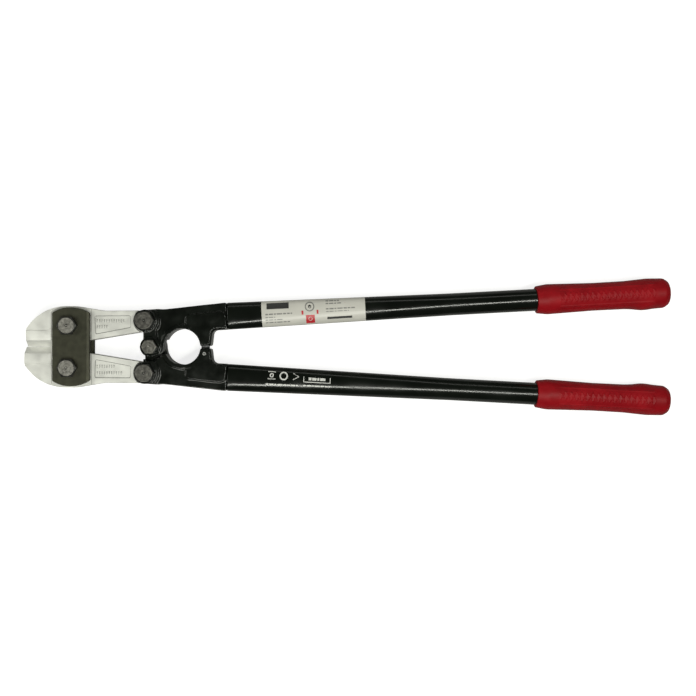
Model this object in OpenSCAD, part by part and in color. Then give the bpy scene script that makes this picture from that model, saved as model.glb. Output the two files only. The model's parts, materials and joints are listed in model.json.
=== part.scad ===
// Bolt cutters with compound leverage: two jaws between two straps, two forged handle heads
// lapped at a centre pivot, flattened tube handles and moulded grips.
// +X points along the handles, the jaw tips are at -X, and +Z is the front face.

/* [Layout] */
// Overall length from the jaw tips to the ends of the grips
overall_l = 620; // [600:5:680]
// Distance along X from the jaw pivots to the longer jaw tip
tip_reach = 43; // [41:0.5:44]
// Distance of each jaw pivot from the centre line
strap_half = 20.2; // [19.8:0.1:20.6]
// Distance along X from the jaw pivots to the tail pivots
tail_reach = 73.6; // [72.5:0.1:75]
// Distance of each tail pivot from the centre line
tail_half = 25.1; // [24.8:0.1:25.4]
// Distance along X from the jaw pivots to the centre pivot
centre_reach = 78.5; // [78:0.1:79]
// Angle of each handle to the centre line
handle_tilt = 3.05; // [2.5:0.05:3.5]
// Turn of each handle about its tail pivot from closed to fully open
handle_swing = 53.4; // [45:0.1:54]

/* [Thicknesses] */
// Jaw thickness between the straps
seat_t = 11; // [10:0.1:11]
// Jaw thickness across the ground cutting band
blade_t = 14; // [13:0.1:14]
// Jaw thickness across the tail
tail_t = 13; // [12:0.1:13]
// Thickness of each strap
strap_t = 5.5; // [5:0.1:6]
// Thickness across the cheeks of a handle head
fork_t = 22.8; // [22:0.1:24]
// Thickness of the plate of a handle head
plate_t = 15.2; // [14:0.1:16]

/* [Fasteners] */
// Thread diameter of the jaw and tail bolts
bolt_d = 10; // [9:0.5:10]
// Width across the flats of the jaw and tail bolts
bolt_af = 17; // [16:0.5:17]
// Thread diameter of the centre bolt
centre_d = 8; // [7:0.5:8]
// Width across the flats of the centre bolt
centre_af = 13; // [12:0.5:14]
// Height of a bolt head
head_h = 5; // [4:0.1:5.5]
// Height of a nut
nut_h = 5; // [4:0.1:6]
// Thickness of a washer
washer_t = 1.2; // [1:0.1:1.6]
// Radial clearance of a pivot in its bore
pivot_play = 0.05; // [0.02:0.01:0.1]
// Outer radius of every washer
washer_r = 10; // [9.5:0.1:10]

/* [Handles] */
// Diameter of the round part of a handle tube
tube_d = 21.3; // [20:0.1:21.3]
// Wall of a handle tube
tube_wall = 1.8; // [1.5:0.1:2.2]
// Width of the flattened tube where it meets the head
oval_w = 26; // [25:0.1:26.5]
// Thickness of the flattened tube where it meets the head
oval_t = 15.6; // [15:0.1:16.5]
// Length over which the tube turns from oval to round
oval_l = 215; // [180:5:240]
// Length of a grip
grip_l = 127.5; // [127:0.1:135]

/* [Hidden] */

$fn = 96;
arc_step = 7;
over = 1;

// Gaps between parts that slide or meet
slide_gap = 0.05;
edge_gap = 0.08;
stop_gap = 0.15;

// Fastener details: round faces of the bolt heads and nuts, the recess of a bolt's end in
// its nut, the lead on its end, the dimple in its head and the slope of a chamfer
jaw_face_r = 7.4;
tail_face_r = 8.1;
centre_face_r = 6.1;
nut_face_in = 0.4;
bolt_end_in = 0.4;
bolt_lead = 0.8;
dimple_r = 2;
dimple_depth = 0.6;
chamfer_a = 32;

// Heights measured from the middle plane of the tool
seat_z = seat_t / 2;
tail_z = tail_t / 2;
blade_z = blade_t / 2;
outer_blade_z = 6.1;
strap_in_z = seat_z + slide_gap;
strap_out_z = strap_in_z + strap_t;
fork_z = fork_t / 2;
slot_z = seat_z + 0.1;
plate_z = plate_t / 2;
eye_step_z = 10.2;
bead_z = 9.2;
pad_z = 9.0;
mid_z = fork_z + washer_t + nut_h;

// Plan positions
jaw_x = tip_reach - overall_l / 2;
jaw_pivot = [jaw_x, strap_half];
tail_pivot = [jaw_x + tail_reach, tail_half];
centre_pivot = [jaw_x + centre_reach, 0];

// Jaw sizes, in a frame with its origin at the jaw pivot
short_tip = 1.5;
jaw_tail = [tail_reach, tail_half - strap_half];
edge_y = edge_gap - strap_half;
tail_r = 9.9;
tail_corner_r = 9.7;
tail_relief_r = 11.8;
tail_low = 8.41;
tail_edge_a = 9.3;
roll_a = 40;
bevel_h = 6.2;
bevel_z = 6.3;
facet_h = 11;
band_y = -4.3;
band_end_x = -20.9;
blade_end_x = -17.3;
tail_pad_x = 21.4;
pocket_depth = 1;

// Strap sizes, in the same frame with its origin between the pivots
strap_x0 = -15.3;
strap_x1 = 20.5;
strap_apex = 37.8;
strap_end_r = 31.9;
strap_undercut = 1.1;
strap_under_x0 = -14.5;
strap_under_x1 = 18.5;
strap_bevel_w = 2.4;
strap_bevel_h = 1.3;
strap_mid_x = (strap_x0 + strap_x1) / 2;
// Half the angle of an end arc, taken a little past the strap's sides
strap_end_a = asin((strap_x1 - strap_x0) / 2 / strap_end_r) + 2;

// Handle head sizes, in a frame with its origin at the centre pivot
eye = [tail_reach - centre_reach, tail_half];
eye_r = 10.5;
eye_step_r = 13.8;
slot_r = 10.4;
lug_r = 9.6;
web_r = 13.2;
lap_r = 13.5;
lap_y = 6.8;
web_y = -6.6;
neck_x = -7.2;
window_x = 30.5;
window_r = 17.2;
bead_r = 21.2;
upper_stop_y = 0.8;
lower_stop_y = 1.6;
open_play = 3.3;
open_play_a = 68;
open_side_play = 0.65;

// Handle axis, in the head's frame, and stations along it
tube_foot = [73, 29.55];
end_face_r = 9.28;
grip_end_s = (overall_l / 2 - end_face_r * sin(handle_tilt) - jaw_x - centre_reach - tube_foot[0])
    / cos(handle_tilt);
grip_s = grip_end_s - grip_l;
tube_end_s = grip_end_s - 8;
spigot_l = 38;
spigot_a = oval_w / 2 - tube_wall - 0.5;
spigot_b = oval_t / 2 - tube_wall - 0.1;
tube_n = 36;
oval_rings = 10;
oval_n = 2.6;
label_s = [33.5, 133];
label_a = [20, 160];
label_t = 0.3;
label_gap = 0.01;
ring_in = 0.03;
grip_wall_end = 6;

// Stop buffer and its pin, in the head's frame
stop_x = 51.6;
buffer_r = 4.1;
buffer_stem_r = 2;
buffer_stem_l = 11;
pin_y = -6.7;
pin_r = 1.5;
pin_bore_r = 0.8;

// ---- Functions ----

function unit(v) = v / norm(v);

// One corner [x, y, r] between its neighbours, as a tangent arc of radius r
function corner(a, b, c) =
    b[2] == 0 ? [[b[0], b[1]]] :
    let (
        p = [b[0], b[1]],
        u = unit([a[0], a[1]] - p),
        v = unit([c[0], c[1]] - p),
        half = acos(u * v) / 2,
        mid = p + unit(u + v) * b[2] / sin(half),
        from = p + u * b[2] / tan(half) - mid,
        to = p + v * b[2] / tan(half) - mid,
        a0 = atan2(from[1], from[0]),
        turn = (atan2(to[1], to[0]) - a0 + 540) % 360 - 180,
        n = max(2, ceil(abs(turn) / arc_step))
    )
    [for (k = [0:n]) mid + b[2] * [cos(a0 + turn * k / n), sin(a0 + turn * k / n)]];

// An outline of corners [x, y, r], each rounded to its own radius
function rounded(p) =
    let (n = len(p))
    [for (i = [0:n - 1]) each corner(p[(i + n - 1) % n], p[i], p[(i + 1) % n])];

function arc(c, r, a0, a1, n) =
    [for (k = [0:n]) c + r * [cos(a0 + (a1 - a0) * k / n), sin(a0 + (a1 - a0) * k / n)]];

// A point in the head's frame from a station s along the handle and an offset v across it
function on_handle(s, v) = tube_foot + s * [cos(handle_tilt), sin(handle_tilt)]
    + v * [-sin(handle_tilt), cos(handle_tilt)];

// How far the tube has turned round at station s, 0 to 1
function roundness(s) = min(1, max(0, s / oval_l));
function mix(a, b, t) = a + (b - a) * t;
function half_w(s) = mix(oval_w / 2, tube_d / 2, roundness(s));
function half_t(s) = mix(oval_t / 2, tube_d / 2, roundness(s));
function squareness(s) = mix(oval_n, 2, roundness(s));
function signed_pow(v, e) = sign(v) * pow(abs(v), e);

// A point of the tube's cross-section at station s, angle a, grown by g
function skin(s, a, g) = [
    s,
    (half_w(s) + g) * signed_pow(cos(a), 2 / squareness(s)),
    (half_t(s) + g) * signed_pow(sin(a), 2 / squareness(s))
];

// ---- Shared shapes ----

// A solid through a list of closed rings that have the same number of points
module sweep(rings) {
    n = len(rings[0]);
    m = len(rings);
    polyhedron(
        points = [for (ring = rings) each ring],
        faces = [
            [for (i = [0:n - 1]) i],
            [for (i = [0:n - 1]) (m - 1) * n + n - 1 - i],
            for (j = [0:m - 2])
                for (i = [0:n - 1])
                    [j * n + i, (j + 1) * n + i, (j + 1) * n + (i + 1) % n, j * n + (i + 1) % n]
        ]
    );
}

module slab(z0, z1, outline) {
    translate([0, 0, z0])
        linear_extrude(z1 - z0)
            polygon(outline);
}

module post(p, r, z0, z1) {
    translate([p[0], p[1], z0])
        cylinder(r = r, h = z1 - z0);
}

// A hexagon with its corners cut back to a round face at z1, and at z0 where both is true
module hexagon(af, z0, z1, face_r, both) {
    corner_r = af / 2 / cos(30);
    drop = (corner_r - face_r) * tan(chamfer_a);
    intersection() {
        translate([0, 0, z0])
            cylinder(r = corner_r, h = z1 - z0, $fn = 6);
        rotate_extrude()
            polygon([
                [0, z0],
                [both ? face_r : corner_r + over, z0],
                [both ? corner_r : corner_r + over, both ? z0 + drop : z0],
                [corner_r, z1 - drop],
                [face_r, z1],
                [0, z1]
            ]);
    }
}

// A hex bolt through a stack that reaches to z = seat and z = -seat, with its end in a nut
module bolt(d, af, seat, face_r) {
    end = bolt_end_in - seat - washer_t - nut_h;
    difference() {
        hexagon(af, seat, seat + head_h, face_r, false);
        translate([0, 0, seat + head_h + dimple_r - dimple_depth])
            sphere(r = dimple_r);
    }
    rotate_extrude()
        polygon([
            [0, end], [d / 2 - bolt_lead, end], [d / 2, end + bolt_lead],
            [d / 2, seat + over], [0, seat + over]
        ]);
}

// A washer under a stack that ends at z = -seat
module washer(d, seat) {
    translate([0, 0, -seat - washer_t])
        difference() {
            cylinder(r = washer_r, h = washer_t);
            translate([0, 0, -over])
                cylinder(r = d / 2 + pivot_play, h = washer_t + 2 * over);
        }
}

// A nut under that washer
module nut(d, af, seat) {
    top = -seat - washer_t;
    difference() {
        hexagon(af, top - nut_h, top, af / 2 - nut_face_in, true);
        translate([0, 0, top - nut_h - over])
            cylinder(r = d / 2 + pivot_play, h = nut_h + 2 * over);
    }
}

// Puts a part at a plan position, with its z = 0 on the tool's middle plane
module place(at) {
    translate([at[0], at[1], mid_z])
        children();
}

// ---- Straps ----

// Plan of a strap before its sides are planed
strap_outline = concat(
    arc([strap_mid_x, strap_apex - strap_end_r], strap_end_r, 90 - strap_end_a, 90 + strap_end_a, 10),
    arc([strap_mid_x, strap_end_r - strap_apex], strap_end_r, 270 - strap_end_a, 270 + strap_end_a, 10)
);

module strap() {
    difference() {
        intersection() {
            slab(strap_in_z, strap_out_z, strap_outline);
            translate([0, strap_apex + over, 0])
                rotate([90, 0, 0])
                    linear_extrude(2 * (strap_apex + over))
                        polygon([
                            [strap_under_x0, strap_in_z],
                            [strap_under_x1, strap_in_z],
                            [strap_under_x1, strap_in_z + strap_undercut],
                            [strap_x1, strap_in_z + strap_undercut],
                            [strap_x1, strap_out_z - strap_bevel_h],
                            [strap_x1 - strap_bevel_w, strap_out_z],
                            [strap_x0 + strap_bevel_w / 2, strap_out_z],
                            [strap_x0, strap_out_z - strap_bevel_h],
                            [strap_x0, strap_in_z + strap_undercut],
                            [strap_under_x0, strap_in_z + strap_undercut]
                        ]);
        }
        for (side = [-1, 1])
            post([0, side * strap_half], bolt_d / 2 + pivot_play, 0, strap_out_z + over);
    }
}

module front_strap() {
    color("#3c3c2e")
        place([jaw_x, 0])
            strap();
}

module rear_strap() {
    color("#3c3c2e")
        place([jaw_x, 0])
            mirror([0, 0, 1])
                strap();
}

// ---- Jaws ----

// Plan of a jaw, starting at the cutting edge of the tip
function jaw_outline(reach) = rounded([
    [-reach, edge_y, 0],
    [strap_half * tan(roll_a / 2), edge_y, -edge_y],
    [13.4, -15.05, 0],
    [jaw_tail[0] + tail_r, jaw_tail[1] - tail_low, tail_corner_r],
    [jaw_tail[0] + tail_r, jaw_tail[1] + tail_r, tail_corner_r],
    [34, 14.4, 40],
    [8, 18.9, 50],
    [-25.4, 18.9, 45],
    [-reach, -2.5, 1]
]);

// Plan of the shallow recess in the tail
pocket_outline = rounded([
    [24.6, 9.4, 1.6],
    [58.8, 9.7, 1.6],
    [59.2, -1.6, 1.6],
    [25.2, -8.0, 1.6]
]);

module cutting_bevel(reach) {
    translate([-reach - over, 0, 0])
        rotate([90, 0, 90])
            linear_extrude(reach + over - 2)
                for (side = [0, 1])
                    mirror([0, side])
                        polygon([
                            [edge_y - over, 0.1],
                            [edge_y, 0.1],
                            [edge_y + bevel_h, bevel_z],
                            [edge_y + facet_h, blade_z],
                            [edge_y + facet_h, blade_z + over],
                            [edge_y - over, blade_z + over]
                        ]);
}

module jaw(reach) {
    outline = jaw_outline(reach);
    difference() {
        union() {
            slab(-seat_z, seat_z, outline);
            intersection() {
                slab(-blade_z, blade_z, outline);
                slab(-blade_z, blade_z, [
                    [-reach - over, -strap_half - over], [blade_end_x, -strap_half - over],
                    [blade_end_x, strap_half], [-reach - over, strap_half]
                ]);
            }
            difference() {
                intersection() {
                    slab(-tail_z, tail_z, outline);
                    slab(-tail_z, tail_z, [
                        [tail_pad_x, -strap_half], [tail_reach, -strap_half],
                        [tail_reach, strap_half], [tail_pad_x, strap_half]
                    ]);
                }
                post(jaw_tail, tail_relief_r, -blade_z, blade_z);
            }
        }
        cutting_bevel(reach);
        for (side = [0, 1])
            mirror([0, 0, side]) {
                slab(outer_blade_z, blade_z + over, [
                    [-reach - over, band_y], [band_end_x, band_y], [blade_end_x, band_y + 2.4],
                    [blade_end_x + over, band_y + 2.4], [blade_end_x + over, strap_half],
                    [-reach - over, strap_half]
                ]);
                slab(tail_z - pocket_depth, blade_z, pocket_outline);
            }
        post([0, 0], bolt_d / 2 + pivot_play, -blade_z, blade_z);
        post(jaw_tail, bolt_d / 2 + pivot_play, -blade_z, blade_z);
    }
}

module upper_jaw() {
    color("#d8d8d0")
        place(jaw_pivot)
            jaw(tip_reach - short_tip);
}

module lower_jaw() {
    color("#d8d8d0")
        place([jaw_pivot[0], -jaw_pivot[1]])
            mirror([0, 1, 0])
                jaw(tip_reach);
}

// ---- Jaw fasteners ----

module jaw_bolt(side) {
    place([jaw_x, side * strap_half])
        bolt(bolt_d, bolt_af, strap_out_z, jaw_face_r);
}

module upper_jaw_bolt() {
    color("#b8b8b2")
        jaw_bolt(1);
}

module lower_jaw_bolt() {
    color("#b8b8b2")
        jaw_bolt(-1);
}

module jaw_washer(side) {
    place([jaw_x, side * strap_half])
        washer(bolt_d, strap_out_z);
}

module upper_jaw_washer() {
    color("#8a8a84")
        jaw_washer(1);
}

module lower_jaw_washer() {
    color("#8a8a84")
        jaw_washer(-1);
}

module jaw_nut(side) {
    place([jaw_x, side * strap_half])
        nut(bolt_d, bolt_af, strap_out_z);
}

module upper_jaw_nut() {
    color("#77776f")
        jaw_nut(1);
}

module lower_jaw_nut() {
    color("#77776f")
        jaw_nut(-1);
}

// ---- Handle heads ----

// Plan of the head's plate on the handle's own side of the centre line
function plate_outline(stop_y) = rounded([
    [neck_x, 0.3, 0],
    [neck_x, eye[1], 0],
    [eye[0], eye[1] + eye_r, 0],
    [7.6, 36.4, 14],
    [11.8, 35.9, 20],
    [on_handle(-0.3, oval_w / 2)[0], on_handle(-0.3, oval_w / 2)[1], 1],
    [on_handle(-0.3, -oval_w / 2)[0], on_handle(-0.3, -oval_w / 2)[1], 1],
    [59.3, 15.9, 5],
    [57.6, stop_y, 2],
    [window_x, stop_y, 0],
    [window_x, 0.3, 0]
]);

// Plan of the raised tongue that runs from the stop lug to the tube
function tongue_outline(stop_y) = rounded([
    [34, 16, 0],
    [33.5, 30.3, 4],
    [60, 33.4, 3],
    [on_handle(-1.2, 4.6)[0], on_handle(-1.2, 4.6)[1], 5],
    [on_handle(-1.2, -11.4)[0], on_handle(-1.2, -11.4)[1], 2.5],
    [58, 17.2, 6],
    [56.4, stop_y + 1.2, 1.4],
    [44, stop_y + 1.2, 0]
]);

// Plan limits of the raised ring round the eye, of the bead along the window, of the step
// that joins the eye to the lap, and of the web under the lap
eye_ring = [[eye[0], eye[1]], [eye[0], 4], [24, 4], [24, 37], eye + [8, 10.6], eye + [6, 10.2]];
bead_limit = [[8, 0.3], [30, 0.3], [42, 26], [8, 26]];
lap_step = [[neck_x + 0.6, 0], [neck_x + 0.6, 18], [5, 18], [8, 0]];
web_limit = [[0, web_y], [web_r, web_y], [web_r + 2, 1], [0, 1]];

// The plate and everything raised on it, before any cut
module head_solid(stop_y) {
    plate = plate_outline(stop_y);
    slab(-plate_z, plate_z, plate);
    slab(-pad_z, pad_z, tongue_outline(stop_y));
    post(eye, eye_r, -fork_z, fork_z);
    intersection() {
        post(eye, eye_step_r, -eye_step_z, eye_step_z);
        slab(-fork_z, fork_z, eye_ring);
    }
    intersection() {
        post([window_x, 0], bead_r, -bead_z, bead_z);
        slab(-bead_z, bead_z, bead_limit);
    }
    slab(0, eye_step_z, lap_step);
    post([0, 0], lug_r, 0, fork_z);
    intersection() {
        post([0, 0], web_r, 0, bead_z);
        slab(0, bead_z, web_limit);
    }
    place_on_handle(-4)
        rotate([90, 0, 90])
            linear_extrude(spigot_l + 4)
                polygon([for (k = [0:tube_n - 1]) [
                    spigot_a * signed_pow(cos(360 * k / tube_n), 2 / oval_n),
                    spigot_b * signed_pow(sin(360 * k / tube_n), 2 / oval_n)
                ]]);
}

module place_on_handle(s) {
    translate([on_handle(s, 0)[0], on_handle(s, 0)[1], 0])
        rotate([0, 0, handle_tilt])
            children();
}

// The room between the cheeks that the jaw's tail sweeps, in the head's frame
module tail_slot() {
    steps = 4;
    translate([eye[0], eye[1], -slot_z])
        linear_extrude(2 * slot_z)
            union() {
                circle(slot_r);
                for (k = [0:steps])
                    rotate(tail_edge_a - k * (tail_edge_a + handle_swing) / steps)
                        translate([-40, -slot_r])
                            square([40, 2 * slot_r]);
            }
}

// One handle head with its eye at +Y and its lap lug on the +Z side
module head_blank(stop_y) {
    difference() {
        head_solid(stop_y);
        post([window_x, 0], window_r, -fork_z - over, fork_z + over);
        post([0, 0], lap_r, -fork_z - over, slide_gap);
        slab(-fork_z - over, slide_gap, [
            [0, -lap_y], [window_x - 8, -lap_y], [window_x - 8, lap_y], [0, lap_y]
        ]);
        post(eye, bolt_d / 2 + pivot_play, -fork_z - over, fork_z + over);
        tail_slot();
    }
}

module upper_handle_head() {
    color("#101210")
        place(centre_pivot)
            difference() {
                head_blank(upper_stop_y);
                post([0, 0], centre_d / 2 + pivot_play, -over, fork_z + over);
            }
}

// The lower head has a slot at the centre pivot, for the play of the opened linkage,
// and a drilled stop lug for the buffer and its pin
module lower_handle_head() {
    centre_slot_r = centre_d / 2 + pivot_play + open_side_play;
    color("#101210")
        place(centre_pivot)
            difference() {
                rotate([180, 0, 0])
                    head_blank(lower_stop_y);
                rotate([0, 0, -open_play_a])
                    translate([0, 0, -fork_z - over])
                        linear_extrude(fork_z + 2 * over)
                            polygon(concat(
                                arc([open_play, 0], centre_slot_r, -90, 90, 18),
                                arc([0, 0], centre_slot_r, 90, 270, 18)
                            ));
                translate([stop_x, over, 0])
                    rotate([90, 0, 0])
                        cylinder(r = buffer_stem_r, h = buffer_stem_l + lower_stop_y + 2 * over);
                post([stop_x, pin_y], pin_r, -fork_z, fork_z);
            }
}

// ---- Handle head fasteners ----

module tail_bolt(side) {
    place([tail_pivot[0], side * tail_half])
        bolt(bolt_d, bolt_af, fork_z, tail_face_r);
}

module upper_tail_bolt() {
    color("#8f8f88")
        tail_bolt(1);
}

module lower_tail_bolt() {
    color("#8f8f88")
        tail_bolt(-1);
}

module tail_washer(side) {
    place([tail_pivot[0], side * tail_half])
        washer(bolt_d, fork_z);
}

module upper_tail_washer() {
    color("#8a8a84")
        tail_washer(1);
}

module lower_tail_washer() {
    color("#8a8a84")
        tail_washer(-1);
}

module tail_nut(side) {
    place([tail_pivot[0], side * tail_half])
        nut(bolt_d, bolt_af, fork_z);
}

module upper_tail_nut() {
    color("#77776f")
        tail_nut(1);
}

module lower_tail_nut() {
    color("#77776f")
        tail_nut(-1);
}

module centre_bolt() {
    color("#8f8f88")
        place(centre_pivot)
            bolt(centre_d, centre_af, fork_z, centre_face_r);
}

module centre_washer() {
    color("#8a8a84")
        place(centre_pivot)
            washer(centre_d, fork_z);
}

module centre_nut() {
    color("#77776f")
        place(centre_pivot)
            nut(centre_d, centre_af, fork_z);
}

// ---- Stop between the handle lugs ----

module stop_buffer() {
    color("#1c1c1a")
        place(centre_pivot)
            difference() {
                translate([stop_x, -lower_stop_y, 0])
                    rotate([90, 0, 0]) {
                        translate([0, 0, stop_gap - upper_stop_y - lower_stop_y])
                            cylinder(r = buffer_r, h = upper_stop_y + lower_stop_y - stop_gap);
                        cylinder(r = buffer_stem_r, h = buffer_stem_l);
                    }
                post([stop_x, pin_y], pin_r, -fork_z, fork_z);
            }
}

module stop_pin() {
    color("#c8c8c0")
        place(centre_pivot)
            difference() {
                post([stop_x, pin_y], pin_r, -pad_z, pad_z);
                post([stop_x, pin_y], pin_bore_r, -fork_z, fork_z);
            }
}

// ---- Handle tubes, grips and label ----

// The oval part of the tube, its last ring a hair inside the round part that follows
module tube_skin(g, s0) {
    sweep([for (j = [0:oval_rings])
        let (s = mix(s0, oval_l, j / oval_rings), fit = j == oval_rings ? ring_in : 0)
        [for (k = [0:tube_n - 1]) skin(s, 360 * k / tube_n, g - fit)]]);
}

module handle_tube() {
    place_on_handle(0)
        difference() {
            union() {
                tube_skin(0, 0);
                translate([oval_l, 0, 0])
                    rotate([0, 90, 0])
                        cylinder(d = tube_d, h = tube_end_s - oval_l);
            }
            tube_skin(-tube_wall, -over);
            translate([oval_l, 0, 0])
                rotate([0, 90, 0])
                    cylinder(d = tube_d - 2 * tube_wall, h = tube_end_s);
        }
}

// Radius of the grip along its length, rim first
grip_profile = rounded([
    [tube_d / 2 + slide_gap, 0, 0],
    [13.1, 0, 0.8],
    [14.6, 10.5, 14],
    [13.4, 55, 120],
    [13.6, 85, 60],
    [14.9, 107, 30],
    [14.3, 122.5, 5],
    [11.2, grip_l, 4],
    [0, grip_l, 0],
    [0, grip_l - grip_wall_end, 0],
    [tube_d / 2 + slide_gap, grip_l - grip_wall_end, 0]
]);

module grip() {
    place_on_handle(grip_s)
        rotate([0, 90, 0])
            rotate_extrude()
                polygon(grip_profile);
}

module upper_side() {
    place(centre_pivot)
        children();
}

module lower_side() {
    place(centre_pivot)
        rotate([180, 0, 0])
            children();
}

module upper_handle_tube() {
    color("#0e100e")
        upper_side()
            handle_tube();
}

module lower_handle_tube() {
    color("#0e100e")
        lower_side()
            handle_tube();
}

module upper_grip() {
    color("#a01828")
        upper_side()
            grip();
}

module lower_grip() {
    color("#a01828")
        lower_side()
            grip();
}

// A thin label that follows the front of the upper tube
module handle_label() {
    arc_n = 14;
    color("#d8d6d0")
        upper_side()
            place_on_handle(0)
                sweep([for (s = [0:5])
                    let (at = mix(label_s[0], label_s[1], s / 5))
                    concat(
                        [for (k = [0:arc_n]) skin(at, mix(label_a[0], label_a[1], k / arc_n), label_t)],
                        [for (k = [0:arc_n]) skin(at, mix(label_a[1], label_a[0], k / arc_n), label_gap)]
                    )
                ]);
}

front_strap();
rear_strap();
upper_jaw();
lower_jaw();
upper_jaw_bolt();
lower_jaw_bolt();
upper_jaw_washer();
lower_jaw_washer();
upper_jaw_nut();
lower_jaw_nut();
upper_handle_head();
lower_handle_head();
upper_tail_bolt();
lower_tail_bolt();
upper_tail_washer();
lower_tail_washer();
upper_tail_nut();
lower_tail_nut();
centre_bolt();
centre_washer();
centre_nut();
upper_handle_tube();
lower_handle_tube();
upper_grip();
lower_grip();
stop_buffer();
stop_pin();
handle_label();
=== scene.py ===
"""Bolt cutters: the finished look of the tool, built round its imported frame."""
import json
import math

import bmesh
import bpy
from bpy.props import FloatProperty, FloatVectorProperty, IntProperty, PointerProperty
from mathutils import Matrix, Vector, noise


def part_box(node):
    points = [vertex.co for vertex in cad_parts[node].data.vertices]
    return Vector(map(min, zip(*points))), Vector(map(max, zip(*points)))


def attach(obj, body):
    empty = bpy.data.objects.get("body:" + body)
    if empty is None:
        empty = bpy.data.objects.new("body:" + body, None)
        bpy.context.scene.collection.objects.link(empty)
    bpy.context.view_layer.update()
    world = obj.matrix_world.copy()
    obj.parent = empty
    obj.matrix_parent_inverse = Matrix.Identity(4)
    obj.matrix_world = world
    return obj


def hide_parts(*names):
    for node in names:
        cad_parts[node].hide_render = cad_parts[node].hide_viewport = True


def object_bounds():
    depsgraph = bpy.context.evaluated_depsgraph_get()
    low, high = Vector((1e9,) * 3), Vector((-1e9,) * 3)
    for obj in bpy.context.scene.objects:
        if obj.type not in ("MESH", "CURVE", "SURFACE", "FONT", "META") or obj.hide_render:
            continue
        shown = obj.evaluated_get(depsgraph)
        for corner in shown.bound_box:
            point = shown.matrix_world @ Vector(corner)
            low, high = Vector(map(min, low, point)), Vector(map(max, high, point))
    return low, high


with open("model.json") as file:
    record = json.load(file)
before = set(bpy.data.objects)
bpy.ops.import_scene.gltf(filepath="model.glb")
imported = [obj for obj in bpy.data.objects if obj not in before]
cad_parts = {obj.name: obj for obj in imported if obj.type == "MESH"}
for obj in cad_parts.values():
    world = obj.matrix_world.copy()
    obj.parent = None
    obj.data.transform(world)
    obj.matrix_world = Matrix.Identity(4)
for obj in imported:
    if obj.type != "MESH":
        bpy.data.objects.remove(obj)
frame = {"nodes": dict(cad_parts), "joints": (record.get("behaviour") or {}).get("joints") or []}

bl_info = {
    "name": "Bolt cutters",
    "version": (1, 0, 0),
    "blender": (4, 5, 0),
    "location": "View3D > Sidebar > Bolt cutters",
    "description": "Builds the finished look of a pair of compound bolt cutters on their CAD frame",
    "category": "Object",
}

# ---- Places and sizes read from the frame ----

CAD_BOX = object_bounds()
SIDES = {"upper": 1, "lower": -1}
PIVOTS = {joint["name"]: Vector(joint["pos_m"]) for joint in frame["joints"]}
MID_Z = PIVOTS["upper_jaw_pivot"].z
UP = Vector((0, 0, 1))
END_BAND = 0.002


def node_points(node):
    """Every vertex of a CAD node."""
    return [v.co for v in frame["nodes"][node].data.vertices]


def tube_end(x):
    """Middle of the upper tube's end ring that lies next to x."""
    ring = [p for p in node_points("upper_handle_tube") if abs(p.x - x) < END_BAND]
    low = Vector([min(p[axis] for p in ring) for axis in range(3)])
    high = Vector([max(p[axis] for p in ring) for axis in range(3)])
    return (low + high) / 2


TUBE_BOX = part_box("upper_handle_tube")
FOOT = tube_end(TUBE_BOX[0].x)
ALONG = (tube_end(TUBE_BOX[1].x) - FOOT).normalized()
ACROSS = UP.cross(ALONG)


def stations(node):
    """First and last station of an upper node along the handle."""
    reach = [(p - FOOT).dot(ALONG) for p in node_points(node)]
    return min(reach), max(reach)


TUBE_L = stations("upper_handle_tube")[1]
GRIP_S, GRIP_END = stations("upper_grip")
LABEL_S, LABEL_END = stations("handle_label")
TOP_Z = {node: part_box(node)[1].z for node in frame["nodes"]}
FLOOR_GAP = 0.0002       # keeps the floor off the lowest faces of the tool
FLOOR_Z = CAD_BOX[0][2] - FLOOR_GAP


def handle_place(side):
    """Matrix from (along, across, up) at a handle's foot to the world, for the upper or lower handle."""
    turn = Matrix((ALONG, ACROSS, UP)).transposed().to_4x4()
    return Matrix.Diagonal((1, SIDES[side], 1, 1)) @ Matrix.Translation(FOOT) @ turn


def jaw_place(side):
    """Matrix from plan positions at a jaw's pivot to the world, for the upper or lower jaw."""
    pivot = PIVOTS["upper_jaw_pivot"]
    return Matrix.Diagonal((1, SIDES[side], 1, 1)) @ Matrix.Translation(pivot)


# ---- What a user may change ----


def length(name, description, default):
    """A length that can't be negative."""
    return FloatProperty(
        name=name, description=description, default=default, min=0, unit="LENGTH", precision=5
    )


def place_setting(name, description, default):
    """A place along an axis, on either side of the middle."""
    return FloatProperty(name=name, description=description, default=default, unit="LENGTH")


def strength(name, description, default):
    """A lamp's power or a light's strength."""
    return FloatProperty(name=name, description=description, default=default)


def colour(name, description, default):
    """A colour in linear red, green and blue."""
    return FloatVectorProperty(
        name=name, description=description, default=default, min=0, max=1, size=3, subtype="COLOR"
    )


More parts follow.
